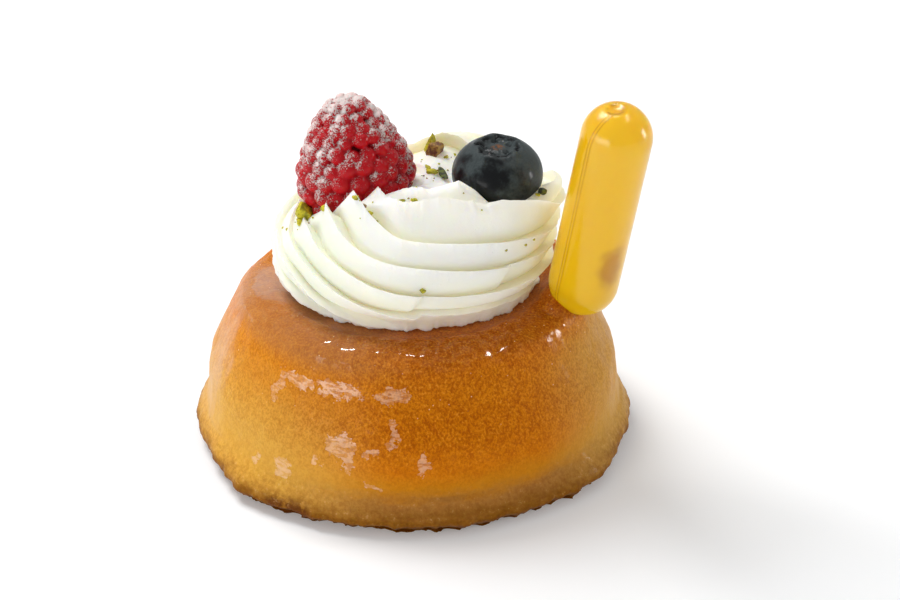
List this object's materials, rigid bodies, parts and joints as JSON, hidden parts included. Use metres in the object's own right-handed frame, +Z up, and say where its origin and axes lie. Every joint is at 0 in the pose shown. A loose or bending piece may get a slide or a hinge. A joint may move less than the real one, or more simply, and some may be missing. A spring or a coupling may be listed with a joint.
{
  "type": "rum baba",
  "caption": "Round soaked yeast cake topped with a piped swirl of cream, a raspberry, a blueberry and chopped nuts, with a clear squeeze pipette of rum stuck in its shoulder.",
  "frame": {"origin": "middle of the cake's flat underside, on its turning axis", "axes": "+Z up; -Y towards the pictured front; +X towards the pipette"},
  "size_m": [0.0748, 0.0731, 0.0662],
  "materials": {
    "crust": "golden brown soaked crust under a thin clear glaze",
    "cream": "soft satin whipped cream with green nut crumbs",
    "raspberry": "glossy red drupelets dusted with icing sugar",
    "blueberry": "dark blue skin with a pale bloom",
    "clear_plastic": "clear soft moulded plastic",
    "rum": "clear amber liquid"
  },
  "bodies": {
    "root": {"baba": "crust", "cream": "cream", "raspberry": "raspberry", "blueberry": "blueberry", "pipette": "clear_plastic", "rum": "rum"}
  },
  "joints": []
}
